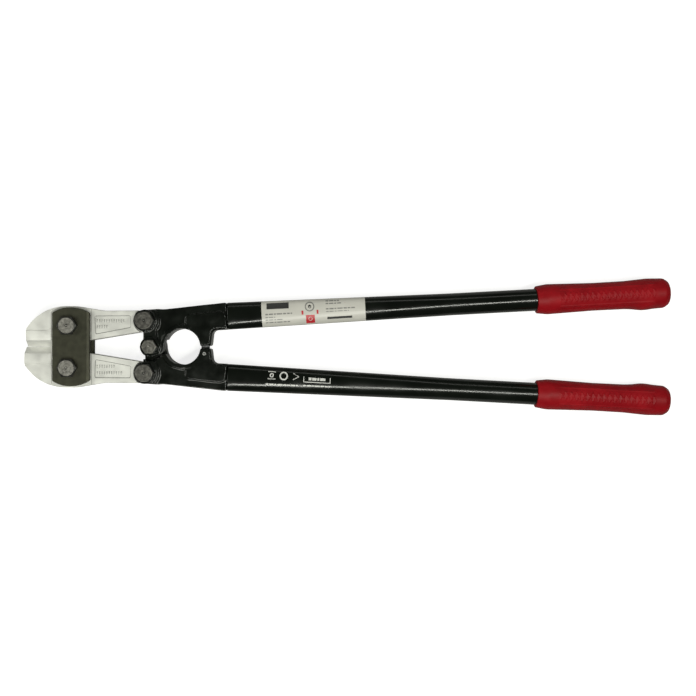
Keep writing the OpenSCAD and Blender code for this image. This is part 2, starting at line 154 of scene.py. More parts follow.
class CutterSizes(bpy.types.PropertyGroup):
    """Sizes of the tool's finish"""

    edge_ease: length("Edge ease", "Width of the broken edges of the jaws and straps", 0.0003)
    bolt_ease: length("Bolt ease", "Width of the broken edges of the bolts, nuts and washers", 0.0002)
    forge_grain: length("Forging cell", "Cell size at which the forged heads are rounded over", 0.0005)
    forge_waves: length("Forging waves", "Height of the uneven skin on the forged heads", 0.00009)
    tube_d: length("Tube diameter", "Diameter of the round part of a handle tube", 0.0213)
    tube_wall: length("Tube wall", "Wall of a handle tube", 0.0018)
    tube_lip: length("Tube lip", "Radius on the edge of the tube where it meets the head", 0.0011)
    oval_w: length("Oval width", "Width of the flattened tube at the head", 0.026)
    oval_t: length("Oval thickness", "Thickness of the flattened tube at the head", 0.0156)
    oval_l: length("Oval length", "Length over which the tube turns round", 0.215)
    relief: length("Grip relief", "Height of the zig-zag ridges on a grip", 0.00045)
    relief_pitch: length("Relief pitch", "Length of one zig-zag on a grip", 0.0105)
    swell: length("Finger swell", "Height of the swell on the inner side of a grip", 0.0009)
    print_t: length("Print thickness", "Thickness of the printing on the label and the tube", 0.00004)
    tube_sides: IntProperty(name="Tube sides", description="Sides of a round section", default=96, min=24)


class CutterColours(bpy.types.PropertyGroup):
    """Colours of the tool's finishes"""

    jaw: colour("Jaws", "Satin plated jaw steel", (0.77, 0.77, 0.735))
    strap: colour("Straps", "Blackened strap steel", (0.044, 0.044, 0.029))
    bolt: colour("Bolts", "Turned bolt faces", (0.33, 0.32, 0.29))
    oxide: colour("Oxide", "Black oxide on bolt flanks", (0.03, 0.03, 0.027))
    nut: colour("Nuts", "Dull zinc on nuts and washers", (0.36, 0.36, 0.34))
    enamel: colour("Enamel", "Black enamel on the heads and tubes", (0.0035, 0.0048, 0.0034))
    vinyl: colour("Vinyl", "Red vinyl of the grips", (0.255, 0.0035, 0.0075))
    rubber: colour("Rubber", "Hard rubber of the stop", (0.018, 0.018, 0.018))
    paper: colour("Label", "Label film", (0.54, 0.53, 0.49))
    ink: colour("Dark ink", "Dark printing", (0.03, 0.03, 0.03))
    pale_ink: colour("Pale ink", "Grey printing", (0.22, 0.22, 0.21))
    red_ink: colour("Red ink", "Red printing", (0.50, 0.02, 0.03))
    floor: colour("Floor", "Studio floor", (0.93, 0.93, 0.93))


class StageSettings(bpy.types.PropertyGroup):
    """The camera and the lamps"""

    camera_h: length("Camera height", "Height of the camera above the tool's middle plane", 0.850)
    camera_x: place_setting("Camera along", "Place of the camera along the tool", 0.0007)
    camera_y: place_setting("Camera across", "Place of the camera across the tool", -0.00115)
    view_w: length("View width", "Width of the view at the tool's middle plane", 0.6731)
    key_power: strength("Key power", "Power of the long key lamp in watts", 11.5)
    fill_power: strength("Fill power", "Power of the fill lamp in watts", 1.0)
    left_power: strength("Left power", "Power of the low lamp at the jaws in watts", 3.0)
    ambient: strength("Ambient", "Strength of the light from all round", 0.055)


def sizes():
    return bpy.context.scene.cutter_sizes


def colours():
    return bpy.context.scene.cutter_colours


def stage_settings():
    return bpy.context.scene.cutter_stage


# ---- Materials ----


class Finish:
    """A material with one principled shader, and short ways to lay patterns into it."""

    def __init__(self, name, base, metallic, roughness, **sockets):
        self.material = bpy.data.materials.new(name)
        self.material.use_nodes = True
        self.tree = self.material.node_tree
        self.shader = self.tree.nodes["Principled BSDF"]
        self.base = tuple(base)
        self.shader.inputs["Base Color"].default_value = (*self.base, 1)
        self.shader.inputs["Metallic"].default_value = metallic
        self.shader.inputs["Roughness"].default_value = roughness
        for socket, value in sockets.items():
            self.shader.inputs[socket.replace("_", " ")].default_value = value
        self.bumps = None

    def node(self, kind, **values):
        made = self.tree.nodes.new(kind)
        for name, value in values.items():
            setattr(made, name, value)
        return made

    def wire(self, source, output, target, socket):
        self.tree.links.new(source.outputs[output], target.inputs[socket])

    def place(self, size, centre=(0, 0, 0), turn=(0, 0, 0)):
        """Object coordinates measured from a centre in steps of a size, a number or one for each axis."""
        steps = (size, size, size) if isinstance(size, (int, float)) else size
        coordinates = self.node("ShaderNodeTexCoord")
        mapping = self.node("ShaderNodeMapping", vector_type="TEXTURE")
        mapping.inputs["Location"].default_value = centre
        mapping.inputs["Rotation"].default_value = turn
        mapping.inputs["Scale"].default_value = steps
        self.wire(coordinates, "Object", mapping, "Vector")
        return mapping

    def noise(self, size, detail=3.0, roughness=0.5, **where):
        """Cloudy noise with features of a size."""
        made = self.node("ShaderNodeTexNoise")
        made.inputs["Scale"].default_value = 1.0
        made.inputs["Detail"].default_value = detail
        made.inputs["Roughness"].default_value = roughness
        self.wire(self.place(size, **where), "Vector", made, "Vector")
        return made

    def rings(self, pitch, centre, distortion=0.6):
        """Turned rings round an upright axis."""
        made = self.node("ShaderNodeTexWave", wave_type="RINGS", rings_direction="Z")
        made.inputs["Scale"].default_value = 0.16
        made.inputs["Distortion"].default_value = distortion
        made.inputs["Detail"].default_value = 1.0
        self.wire(self.place(pitch, centre=centre), "Vector", made, "Vector")
        return made

    def tint(self, pattern, low, high, dark, light=None):
        """Colours the base between two colours by a pattern's value."""
        ramp = self.node("ShaderNodeValToRGB")
        ramp.color_ramp.elements[0].position = low
        ramp.color_ramp.elements[0].color = (*dark, 1)
        ramp.color_ramp.elements[1].position = high
        ramp.color_ramp.elements[1].color = (*(light or self.base), 1)
        self.wire(pattern, "Fac", ramp, "Fac")
        self.wire(ramp, "Color", self.shader, "Base Color")

    def gloss(self, pattern, low, high, smooth, rough):
        """Lets the roughness follow a pattern's value."""
        spread = self.node("ShaderNodeMapRange")
        spread.inputs["From Min"].default_value = low
        spread.inputs["From Max"].default_value = high
        spread.inputs["To Min"].default_value = smooth
        spread.inputs["To Max"].default_value = rough
        self.wire(pattern, "Fac", spread, "Value")
        self.wire(spread, "Result", self.shader, "Roughness")

    def bump(self, pattern, depth, strength=1.0):
        """Adds a relief of a depth, on top of any relief laid before."""
        made = self.node("ShaderNodeBump")
        made.inputs["Distance"].default_value = depth
        made.inputs["Strength"].default_value = strength
        self.wire(pattern, "Fac", made, "Height")
        if self.bumps:
            self.wire(self.bumps, "Normal", made, "Normal")
        self.wire(made, "Normal", self.shader, "Normal")
        self.bumps = made


def scaled(base, factor):
    """A colour made lighter or darker."""
    return tuple(min(1.0, channel * factor) for channel in base)


def once(build):
    """Keeps the material that a function makes, so that pieces share it."""
    made = {}

    def call(*key):
        if key not in made:
            made[key] = build(*key)
        return made[key]

    return call


@once
def jaw_steel():
    finish = Finish("jaw_steel", colours().jaw, 0.5, 0.42, Specular_IOR_Level=0.5)
    clouds = finish.noise(0.009, detail=4.0)
    grind = finish.noise((0.012, 0.00035, 0.00035), detail=2.0, turn=(0, 0, math.radians(82)))
    finish.tint(clouds, 0.3, 0.65, scaled(colours().jaw, 0.92))
    finish.gloss(clouds, 0.3, 0.7, 0.36, 0.50)
    finish.bump(grind, 0.00002, 0.5)
    return finish.material


# Painted shade: a dark steel for the eased jaw edges, in place of the shade that falls on them
@once
def edge_steel():
    finish = Finish("edge_steel", scaled(colours().jaw, 0.3), 0.5, 0.5)
    finish.tint(finish.noise(0.003), 0.3, 0.7, scaled(colours().jaw, 0.2), scaled(colours().jaw, 0.42))
    return finish.material


# Painted shade: a darker steel on the small raised ribs, for the grey shade they show in the recess
@once
def mark_steel():
    finish = Finish("mark_steel", scaled(colours().jaw, 0.62), 0.6, 0.5)
    finish.tint(finish.noise(0.002), 0.3, 0.7, scaled(colours().jaw, 0.42), scaled(colours().jaw, 0.66))
    return finish.material


@once
def blackened_steel():
    finish = Finish("blackened_steel", colours().strap, 0.55, 0.46, Specular_IOR_Level=0.4)
    clouds = finish.noise(0.006, detail=5.0)
    grind = finish.noise((0.00035, 0.018, 0.018), detail=3.0)
    finish.tint(clouds, 0.32, 0.68, scaled(colours().strap, 0.80), scaled(colours().strap, 1.18))
    finish.gloss(grind, 0.3, 0.7, 0.40, 0.54)
    finish.bump(grind, 0.00002, 0.5)
    return finish.material


@once
def turned_steel(x, y, shade):
    base = scaled(colours().bolt, shade)
    finish = Finish("turned_steel", base, 0.75, 0.38)
    clouds = finish.noise(0.0028, detail=5.0, roughness=0.65)
    turned = finish.rings(0.0011, (x, y, 0))
    finish.tint(clouds, 0.34, 0.62, scaled(base, 0.55), scaled(base, 1.25))
    finish.gloss(clouds, 0.3, 0.7, 0.30, 0.52)
    finish.bump(turned, 0.00007, 0.8)
    return finish.material


@once
def oxide_steel():
    finish = Finish("oxide_steel", colours().oxide, 0.6, 0.4)
    clouds = finish.noise(0.003, detail=4.0)
    finish.tint(clouds, 0.3, 0.7, scaled(colours().oxide, 0.6), scaled(colours().oxide, 1.6))
    finish.gloss(clouds, 0.3, 0.7, 0.30, 0.5)
    return finish.material


@once
def zinc_steel():
    finish = Finish("zinc_steel", colours().nut, 0.8, 0.42)
    clouds = finish.noise(0.004, detail=4.0)
    finish.tint(clouds, 0.3, 0.7, scaled(colours().nut, 0.7), scaled(colours().nut, 1.2))
    finish.gloss(clouds, 0.3, 0.7, 0.34, 0.52)
    finish.bump(finish.noise(0.0006), 0.00002, 0.5)
    return finish.material


@once
def thread_steel():
    finish = Finish("thread_steel", scaled(colours().nut, 0.8), 0.8, 0.4)
    thread = finish.node("ShaderNodeTexWave", wave_type="BANDS", bands_direction="Z")
    thread.inputs["Scale"].default_value = 0.31
    finish.wire(finish.place(0.0015), "Vector", thread, "Vector")
    finish.bump(thread, 0.0003, 0.7)
    finish.tint(finish.noise(0.003), 0.3, 0.7, scaled(colours().nut, 0.5), scaled(colours().nut, 0.9))
    return finish.material


@once
def forged_enamel():
    finish = Finish("forged_enamel", colours().enamel, 0.0, 0.18, Specular_IOR_Level=0.5)
    clouds = finish.noise(0.011, detail=3.0)
    finish.tint(clouds, 0.35, 0.7, scaled(colours().enamel, 0.7), scaled(colours().enamel, 1.3))
    finish.gloss(clouds, 0.3, 0.7, 0.13, 0.26)
    finish.bump(finish.noise(0.0034, detail=2.0), 0.00014, 0.5)
    finish.bump(finish.noise(0.0009, detail=1.0), 0.00002, 0.5)
    return finish.material


@once
def tube_enamel():
    finish = Finish("tube_enamel", colours().enamel, 0.0, 0.16, Specular_IOR_Level=0.34)
    clouds = finish.noise(0.03, detail=3.0)
    finish.tint(clouds, 0.35, 0.7, scaled(colours().enamel, 0.8), scaled(colours().enamel, 1.2))
    finish.gloss(clouds, 0.3, 0.7, 0.12, 0.24)
    finish.bump(finish.noise((0.02, 0.0025, 0.0025), detail=1.0), 0.00003, 0.5)
    return finish.material


@once
def red_vinyl():
    finish = Finish("red_vinyl", colours().vinyl, 0.0, 0.46, Specular_IOR_Level=0.14)
    clouds = finish.noise(0.012, detail=4.0)
    finish.tint(clouds, 0.3, 0.7, scaled(colours().vinyl, 0.82), scaled(colours().vinyl, 1.15))
    finish.gloss(clouds, 0.3, 0.7, 0.40, 0.54)
    finish.bump(finish.noise(0.0007, detail=2.0), 0.00004, 0.6)
    return finish.material


@once
def stop_rubber():
    finish = Finish("stop_rubber", colours().rubber, 0.0, 0.6)
    finish.tint(finish.noise(0.002), 0.3, 0.7, scaled(colours().rubber, 0.7), scaled(colours().rubber, 1.5))
    finish.bump(finish.noise(0.0005), 0.00004, 0.6)
    return finish.material


@once
def pin_steel():
    finish = Finish("pin_steel", (0.72, 0.72, 0.70), 0.9, 0.3)
    finish.gloss(finish.noise(0.0008), 0.3, 0.7, 0.2, 0.4)
    return finish.material


@once
def label_film():
    finish = Finish("label_film", colours().paper, 0.0, 0.34, Specular_IOR_Level=0.5)
    clouds = finish.noise(0.02, detail=4.0)
    finish.tint(clouds, 0.3, 0.7, scaled(colours().paper, 0.94), scaled(colours().paper, 1.03))
    finish.gloss(clouds, 0.3, 0.7, 0.28, 0.42)
    finish.bump(finish.noise(0.004, detail=2.0), 0.00003, 0.5)
    return finish.material


@once
def ink(name, red, green, blue):
    finish = Finish(name, (red, green, blue), 0.0, 0.4)
    speckle = finish.noise(0.0015, detail=3.0)
    finish.tint(speckle, 0.3, 0.6, scaled((red, green, blue), 0.75))
    return finish.material


@once
def studio_floor():
    """A pale floor that glows evenly where it is seen, and lights the tool from below less strongly."""
    finish = Finish("studio_floor", scaled(colours().floor, FLOOR_SHARE), 0.0, 0.9, Specular_IOR_Level=0.0)
    finish.shader.inputs["Emission Color"].default_value = (*colours().floor, 1)
    seen = finish.node("ShaderNodeLightPath")
    glow = finish.node("ShaderNodeMath", operation="MULTIPLY")
    glow.inputs[1].default_value = FLOOR_GLOW
    finish.wire(seen, "Is Camera Ray", glow, 0)
    finish.wire(glow, "Value", finish.shader, "Emission Strength")
    return finish.material


# ---- Mesh tools ----


def add_piece(name, bm, body, materials, replaced=(), sharp=35, even=False):
    """Turns a bmesh into a finished piece that rides on a body. Where even, flat faces are shaded flat
    between the broken edges."""
    mesh = bpy.data.meshes.new(name)
    bm.to_mesh(mesh)
    bm.free()
    for material in materials:
        mesh.materials.append(material)
    mesh.shade_smooth()
    mesh.set_sharp_from_angle(angle=math.radians(sharp))
    piece = bpy.data.objects.new(name, mesh)
    bpy.context.scene.collection.objects.link(piece)
    if even:
        piece.modifiers.new("flat_faces", "WEIGHTED_NORMAL").keep_sharp = True
    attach(piece, body)
    if replaced:
        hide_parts(*replaced)
    return piece


def paint(node, material):
    """Gives a CAD node that stays its finish."""
    slots = frame["nodes"][node].material_slots
    if not slots:
        frame["nodes"][node].data.materials.append(material)
    for slot in slots:
        slot.material = material


def cad_copy(node):
    """A copy of a CAD node's mesh with its doubled vertices merged."""
    bm = bmesh.new()
    bm.from_mesh(frame["nodes"][node].data)
    bmesh.ops.remove_doubles(bm, verts=bm.verts, dist=2e-6)
    for face in bm.faces:
        face.material_index = 0
    return bm


def ease_edges(bm, width, least=28):
    """Breaks every edge that is sharper than an angle."""
    bmesh.ops.dissolve_limit(bm, angle_limit=math.radians(0.4), verts=bm.verts, edges=bm.edges)
    sharp = [e for e in bm.edges if len(e.link_faces) == 2 and e.calc_face_angle() > math.radians(least)]
    bmesh.ops.bevel(
        bm, geom=sharp, offset=width, offset_type="OFFSET", segments=2, profile=0.5,
        affect="EDGES", clamp_overlap=False, material=-1,
    )
    bmesh.ops.triangulate(bm, faces=[f for f in bm.faces if len(f.verts) > 4])


def remeshed(bm, cell):
    """The same solid as an even mesh of small cells."""
    rough = bpy.data.meshes.new("rough")
    bm.to_mesh(rough)
    holder = bpy.data.objects.new("rough", rough)
    bpy.context.scene.collection.objects.link(holder)
    modifier = holder.modifiers.new("cells", "REMESH")
    modifier.mode = "VOXEL"
    modifier.voxel_size = cell
    even = bpy.data.meshes.new_from_object(holder.evaluated_get(bpy.context.evaluated_depsgraph_get()))
    bm.clear()
    bm.from_mesh(even)
    bpy.data.objects.remove(holder)
    bpy.data.meshes.remove(rough)
    bpy.data.meshes.remove(even)


def grid(bm, across, around):
    """A flat grid over the unit square, and its new vertices."""
    made = bmesh.ops.create_grid(bm, x_segments=across, y_segments=around, size=1)["verts"]
    reach = max(v.co.x for v in made)
    for v in made:
        v.co = Vector(((v.co.x / reach + 1) / 2, (v.co.y / reach + 1) / 2, 0))
    return made


def set_in_place(bm, matrix):
    """Moves a mesh to the world, with its faces outwards."""
    bmesh.ops.transform(bm, matrix=matrix, verts=bm.verts)
    bmesh.ops.recalc_face_normals(bm, faces=bm.faces)


# ---- Jaws, straps and fasteners ----

# Rows of ribs in a jaw's recess: start, number and plan height, measured from the jaw's pivot
RIB_ROWS = {
    "upper": [(0.0268, 12, 0.0048), (0.0268, 5, -0.0008)],
    "lower": [(0.0268, 8, -0.0014), (0.0268, 11, 0.0048)],
}
RIB_PITCH = 0.0023
RIB_SIZE = Vector((0.0012, 0.0032, 0.0007))
RIB_EASE = 0.0002
RIB_HEIGHT = 0.0055      # middle of a rib above or below the jaw's middle plane
SLOPE = (0.15, 0.95)     # upward part of the normal on an eased edge, least and most
JAW_TAIL_X = -0.262      # the eased edges carry painted shade from here to the tail


def jaw_ribs(side):
    """Rows of short raised ribs on the floor of the recess, on both faces of a jaw."""
    bm = bmesh.new()
    for x0, count, y in RIB_ROWS[side]:
        for k in range(count):
            for face in (1, -1):
                made = bmesh.ops.create_cube(bm, size=1)["verts"]
                bmesh.ops.scale(bm, vec=RIB_SIZE, verts=made)
                bmesh.ops.translate(bm, vec=(x0 + k * RIB_PITCH, y, face * RIB_HEIGHT), verts=made)
    bmesh.ops.bevel(
        bm, geom=bm.edges[:], offset=RIB_EASE, offset_type="OFFSET", segments=2, profile=0.5,
        affect="EDGES", material=-1,
    )
    set_in_place(bm, jaw_place(side))
    return bm


def paint_edge_shade(bm):
    """Gives the eased edges behind the jaw bolts a painted shade: a darker steel that stands in for the
    shade falling on these edges.
    """
    bm.normal_update()
    for face in bm.faces:
        if SLOPE[0] < abs(face.normal.z) < SLOPE[1] and face.calc_center_median().x > JAW_TAIL_X:
            face.material_index = 1


class CUTTER_OT_jaws(bpy.types.Operator):
    """Builds both jaws with broken edges and ribbed recesses"""

    bl_idname = "cutter.jaws"
    bl_label = "Jaws"

    def execute(self, context):
        for side in SIDES:
            node = f"{side}_jaw"
            bm = cad_copy(node)
            ease_edges(bm, sizes().edge_ease)
            # The sloped eased edges get the darker steel as painted shade
            paint_edge_shade(bm)
            finishes = [jaw_steel(), edge_steel()]
            add_piece(f"{side}_jaw_forging", bm, node, finishes, [node], even=True)
            # The ribs get the darker steel as painted shade
            add_piece(f"{side}_jaw_ribs", jaw_ribs(side), node, [mark_steel()])
        return {"FINISHED"}


class CUTTER_OT_straps(bpy.types.Operator):
    """Builds the front and rear straps with broken edges"""

    bl_idname = "cutter.straps"
    bl_label = "Straps"

    def execute(self, context):
        for node in ("front_strap", "rear_strap"):
            bm = cad_copy(node)
            ease_edges(bm, sizes().edge_ease)
            finishes = [blackened_steel()]
            add_piece(f"{node}_plate", bm, "strap_set", finishes, [node], even=True)
        return {"FINISHED"}


# Body that a set of bolt, washer and nut rides on, shade of the bolt's face, and the least
# upward slope of a facet that is ground bright
FASTENERS = {
    "upper_jaw": ("strap_set", 0.85, 0.95), "lower_jaw": ("strap_set", 0.85, 0.95),
    "upper_tail": ("upper_handle", 0.36, 0.95), "lower_tail": ("lower_handle", 0.36, 0.95),
    "centre": ("upper_handle", 0.45, 0.7),
}


class CUTTER_OT_fasteners(bpy.types.Operator):
    """Builds the bolts with turned faces and dark flanks, and the nuts and washers"""

    bl_idname = "cutter.fasteners"
    bl_label = "Bolts, nuts and washers"

    def execute(self, context):
        for name, (body, shade, slope) in FASTENERS.items():
            node = f"{name}_bolt"
            low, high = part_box(node)
            middle = (low + high) / 2
            bm = cad_copy(node)
            ease_edges(bm, sizes().bolt_ease)
            for face in bm.faces:
                outwards = face.normal.z > slope and face.calc_center_median().z > MID_Z
                face.material_index = 0 if outwards else 1 if face.calc_center_median().z > MID_Z else 2
            finishes = [turned_steel(middle.x, middle.y, shade), oxide_steel(), thread_steel()]
            add_piece(f"{name}_hex_bolt", bm, body, finishes, [node], even=True)
            for part in ("washer", "nut"):
                node = f"{name}_{part}"
                bm = cad_copy(node)
                ease_edges(bm, sizes().bolt_ease)
                add_piece(f"{name}_plated_{part}", bm, body, [zinc_steel()], [node], even=True)
        return {"FINISHED"}


# ---- Handle heads and their stop ----

FLAT_BAND = 0.0005       # depth below the outer faces that stays flat
WAVE_LENGTH = 0.007      # length of the waves in the forged skin


class CUTTER_OT_heads(bpy.types.Operator):
    """Builds both forged handle heads, with rounded edges and an uneven enamelled skin"""

    bl_idname = "cutter.heads"
    bl_label = "Handle heads"

    def execute(self, context):
        for side in SIDES:
            node = f"{side}_handle_head"
            cheek = TOP_Z[node] - MID_Z - FLAT_BAND
            bm = cad_copy(node)
            remeshed(bm, sizes().forge_grain)
            for turn in range(2):
                bmesh.ops.smooth_vert(
                    bm, verts=bm.verts, factor=0.5, use_axis_x=True, use_axis_y=True, use_axis_z=True
                )
            bm.normal_update()
            for v in bm.verts:
                if abs(v.co.z - MID_Z) < cheek:
                    v.co += v.normal * (noise.noise(v.co / WAVE_LENGTH) * sizes().forge_waves)
            bmesh.ops.recalc_face_normals(bm, faces=bm.faces)
            body = f"{side}_handle"
            add_piece(f"{side}_forged_head", bm, body, [forged_enamel()], [node], sharp=70)
        return {"FINISHED"}


class CUTTER_OT_stop(bpy.types.Operator):
    """Finishes the rubber stop between the handles and the pin that holds it"""

    bl_idname = "cutter.stop"
    bl_label = "Stop"

    def execute(self, context):
        paint("stop_buffer", stop_rubber())
        paint("stop_pin", pin_steel())
        return {"FINISHED"}


# ---- Handle tubes ----

OVAL_POWER = 2.6


def roundness(s):
    """How far the tube has turned round at a station, 0 to 1."""
    return min(1.0, max(0.0, s / sizes().oval_l))


def mix(a, b, t):
    """A value between two, at a share t."""
    return a + (b - a) * t


def half_width(s):
    """Half the tube's width in the plane of the handles."""
    return mix(sizes().oval_w / 2, sizes().tube_d / 2, roundness(s))


def half_thickness(s):
    """Half the tube's thickness."""
    return mix(sizes().oval_t / 2, sizes().tube_d / 2, roundness(s))


def squareness(s):
    """Power of the section, more than 2 where it is squarer than an ellipse."""
    return mix(OVAL_POWER, 2.0, roundness(s))


def signed_power(value, power):
    """A power that keeps the sign."""
    return math.copysign(abs(value) ** power, value)


def tube_skin(s, angle, grown):
    """A point of the tube's section at a station and angle, grown outwards by an amount."""
    power = 2 / squareness(s)
    return Vector((
        s,
        (half_width(s) + grown) * signed_power(math.cos(angle), power),
        (half_thickness(s) + grown) * signed_power(math.sin(angle), power),
    ))


def tube_rings():
    """Stations and offsets of the tube's rings: round the lip, along the outside and back along the bore."""
    lip, wall = sizes().tube_lip, sizes().tube_wall
    lip_steps, oval_steps, round_steps = 6, 40, 8
    turns = [math.radians(90 * k / lip_steps) for k in range(lip_steps + 1)]
    rings = [(lip * (1 - math.cos(turn)), -lip * (1 - math.sin(turn))) for turn in turns]
    rings += [(mix(lip, sizes().oval_l, k / oval_steps), 0) for k in range(1, oval_steps + 1)]
    rings += [(mix(sizes().oval_l, TUBE_L, k / round_steps), 0) for k in range(1, round_steps + 1)]
    rings += [(mix(TUBE_L, 0, k / (oval_steps // 2)), -wall) for k in range(oval_steps // 2 + 1)]
    return rings


class CUTTER_OT_tubes(bpy.types.Operator):
    """Builds both handle tubes, which turn from a flat oval to round"""

    bl_idname = "cutter.tubes"
    bl_label = "Handle tubes"

    def execute(self, context):
        rings = tube_rings()
        count = len(rings)
        for side in SIDES:
            bm = bmesh.new()
            for v in grid(bm, count, sizes().tube_sides):
                s, grown = rings[round(v.co.x * count) % count]
                v.co = tube_skin(s, math.tau * v.co.y, grown)
            bmesh.ops.remove_doubles(bm, verts=bm.verts, dist=1e-6)
            set_in_place(bm, handle_place(side))
            body, node = f"{side}_handle", f"{side}_handle_tube"
            add_piece(f"{side}_oval_tube", bm, body, [tube_enamel()], [node], sharp=50)
        return {"FINISHED"}


# ---- Grips ----

# Radius of a grip, the station from its rim and the radius of the corner there
GRIP_PROFILE = [
    (0.0107, 0.0, 0.0), (0.0131, 0.0, 0.0008), (0.0146, 0.0105, 0.014), (0.0134, 0.055, 0.120),
    (0.0136, 0.085, 0.060), (0.0149, 0.107, 0.030), (0.0143, 0.1225, 0.005),
]
GRIP_TIP = (0.0112, 0.004)
TIP_WALL = 0.006         # thickness of the grip's closed end
BORE_BAND = 0.0003       # points this close to the bore stay on it
RELIEF_SPAN = (0.020, 0.112)
RELIEF_RIDGE = 0.0006    # half width of a ridge
RELIEF_SWING = 0.0042    # reach of a zig-zag to either side of the middle
RELIEF_FADE = 0.002      # length over which the relief starts and ends
RELIEF_CLEAR = 0.012     # the tip is left alone from this far past the relief
SWELL_AT = (0.101, 0.007)
GRIP_SIDES, GRIP_STEP = 150, 0.00055


def corner_points(before, at, after, radius):
    """A corner as a tangent arc, given with its neighbours in a plane."""
    if radius == 0:
        return [at]
    to_before, to_after = (before - at).normalized(), (after - at).normalized()
    half = to_before.angle(to_after) / 2
    middle = at + (to_before + to_after).normalized() * radius / math.sin(half)
    start = at + to_before * radius / math.tan(half) - middle
    end = at + to_after * radius / math.tan(half) - middle
    first = math.atan2(start.y, start.x)
    turn = (math.atan2(end.y, end.x) - first + math.pi) % math.tau - math.pi
    steps = max(2, math.ceil(abs(turn) / math.radians(8)))
    angles = [first + turn * k / steps for k in range(steps + 1)]
    return [middle + radius * Vector((math.cos(a), math.sin(a))) for a in angles]


def grip_profile():
    """The half section of a grip in the plane of its axis, (station, radius)."""
    total = GRIP_END - GRIP_S
    tip_r, tip_ease = GRIP_TIP
    wall_end = total - TIP_WALL
    bore = GRIP_PROFILE[0][0]
    corners = [(Vector((s, r)), ease) for r, s, ease in GRIP_PROFILE]
    corners += [(Vector((total, tip_r)), tip_ease), (Vector((total, 0)), 0)]
    corners += [(Vector((wall_end, 0)), 0), (Vector((wall_end, bore)), 0)]
    points = []
    for k, (at, ease) in enumerate(corners):
        before = corners[k - 1][0]
        after = corners[(k + 1) % len(corners)][0]
        points += corner_points(before, at, after, ease)
    return points


def zigzag(s, t):
    """Height, 0 to 1, of crossing zig-zag ridges at a station and an offset from the middle of a grip."""
    low, high = RELIEF_SPAN
    if not low < s < high:
        return 0.0
    phase = (s - low) / sizes().relief_pitch % 1.0
    wave = abs(2 * phase - 1) * 2 - 1
    swing, rail = RELIEF_SWING, 2.1 * RELIEF_SWING
    height = 0.0
    for centre in (wave * swing, -wave * swing, rail, -rail):
        off = abs(t - centre) / RELIEF_RIDGE
        height = max(height, min(1.0, max(0.0, 1.8 - off)))
    fade = min(1.0, (s - low) / RELIEF_FADE, (high - s) / RELIEF_FADE)
    return height * fade


def shape_grip(bm):
    """Raises the zig-zags on the front and back of a grip and the swell on its inner side."""
    bore = GRIP_PROFILE[0][0] + BORE_BAND
    for v in bm.verts:
        radial = Vector((0, v.co.y, v.co.z))
        if radial.length < bore or v.co.x > RELIEF_SPAN[1] + RELIEF_CLEAR:
            continue
        direction = radial.normalized()
        tilt = math.atan2(direction.y, abs(direction.z))
        raised = sizes().relief * zigzag(v.co.x, tilt * radial.length)
        inner = max(0.0, -direction.y)
        along = (v.co.x - SWELL_AT[0]) / SWELL_AT[1]
        raised += sizes().swell * math.exp(-along * along) * inner ** 4
        v.co += direction * raised


class CUTTER_OT_grips(bpy.types.Operator):
    """Builds both moulded grips with their rim, zig-zag relief and finger swell"""

    bl_idname = "cutter.grips"
    bl_label = "Grips"

    def execute(self, context):
        for side in SIDES:
            bm = bmesh.new()
            ring = [bm.verts.new((p.x, p.y, 0)) for p in grip_profile()]
            edges = [bm.edges.new((ring[k - 1], ring[k])) for k in range(len(ring))]
            for edge in edges:
                middle = (edge.verts[0].co + edge.verts[1].co) / 2
                cuts = int(edge.calc_length() / GRIP_STEP)
                if cuts and middle.y > GRIP_PROFILE[0][0] + BORE_BAND:
                    bmesh.ops.subdivide_edges(bm, edges=[edge], cuts=cuts)
            bmesh.ops.spin(
                bm, geom=bm.verts[:] + bm.edges[:], cent=(0, 0, 0), axis=(1, 0, 0), dvec=(0, 0, 0),
                angle=math.tau, steps=GRIP_SIDES, use_merge=True, use_duplicate=False,
            )
            bmesh.ops.remove_doubles(bm, verts=bm.verts, dist=1e-6)
            shape_grip(bm)
            bmesh.ops.translate(bm, vec=(GRIP_S, 0, 0), verts=bm.verts)
            set_in_place(bm, handle_place(side))
            body, node = f"{side}_handle", f"{side}_grip"
            add_piece(f"{side}_moulded_grip", bm, body, [red_vinyl()], [node], sharp=40)
        return {"FINISHED"}


# ---- Label and printing ----

LABEL_REACH = 0.955      # part of the tube's half width that the label covers
LABEL_GAP = 0.00002
LABEL_T = 0.00026
PRINT_MIDDLE = 0.068     # middle station of the lower tube's printing
PRINT_LINE = 0.0009
ICON_V, ICON_R = 0.0044, 0.0040


